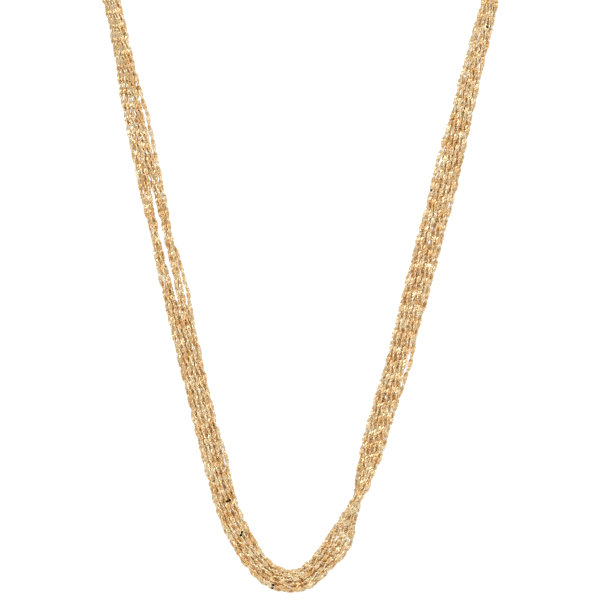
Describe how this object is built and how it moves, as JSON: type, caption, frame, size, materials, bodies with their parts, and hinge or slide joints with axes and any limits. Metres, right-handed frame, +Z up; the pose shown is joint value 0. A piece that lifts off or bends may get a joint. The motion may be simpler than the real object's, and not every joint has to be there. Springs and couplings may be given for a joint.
{
  "type": "multi strand necklace",
  "caption": "Loose bundle of fine twisted gold tone chains, gathered in two flat end caps and closed by a plain clasp at the nape, worn as a long V.",
  "frame": {"origin": "middle of the clasp at the nape, where the worn necklace hangs on the neck", "axes": "+Z up, +X to the right as seen from the front, -Y ahead of the wearer"},
  "size_m": [0.116, 0.1119, 0.1938],
  "materials": {
    "strand_gold": "pale gold plating, bright cut facets",
    "fitting_gold": "pale gold plating, polished"
  },
  "bodies": {
    "root": {"strand_01": "strand_gold", "strand_02": "strand_gold", "strand_03": "strand_gold", "strand_04": "strand_gold", "strand_05": "strand_gold", "strand_06": "strand_gold", "strand_07": "strand_gold", "strand_08": "strand_gold", "strand_09": "strand_gold", "strand_10": "strand_gold", "end_cap_left": "fitting_gold", "end_cap_right": "fitting_gold", "jump_ring_left": "fitting_gold", "jump_ring_right": "fitting_gold", "clasp": "fitting_gold"}
  },
  "joints": []
}
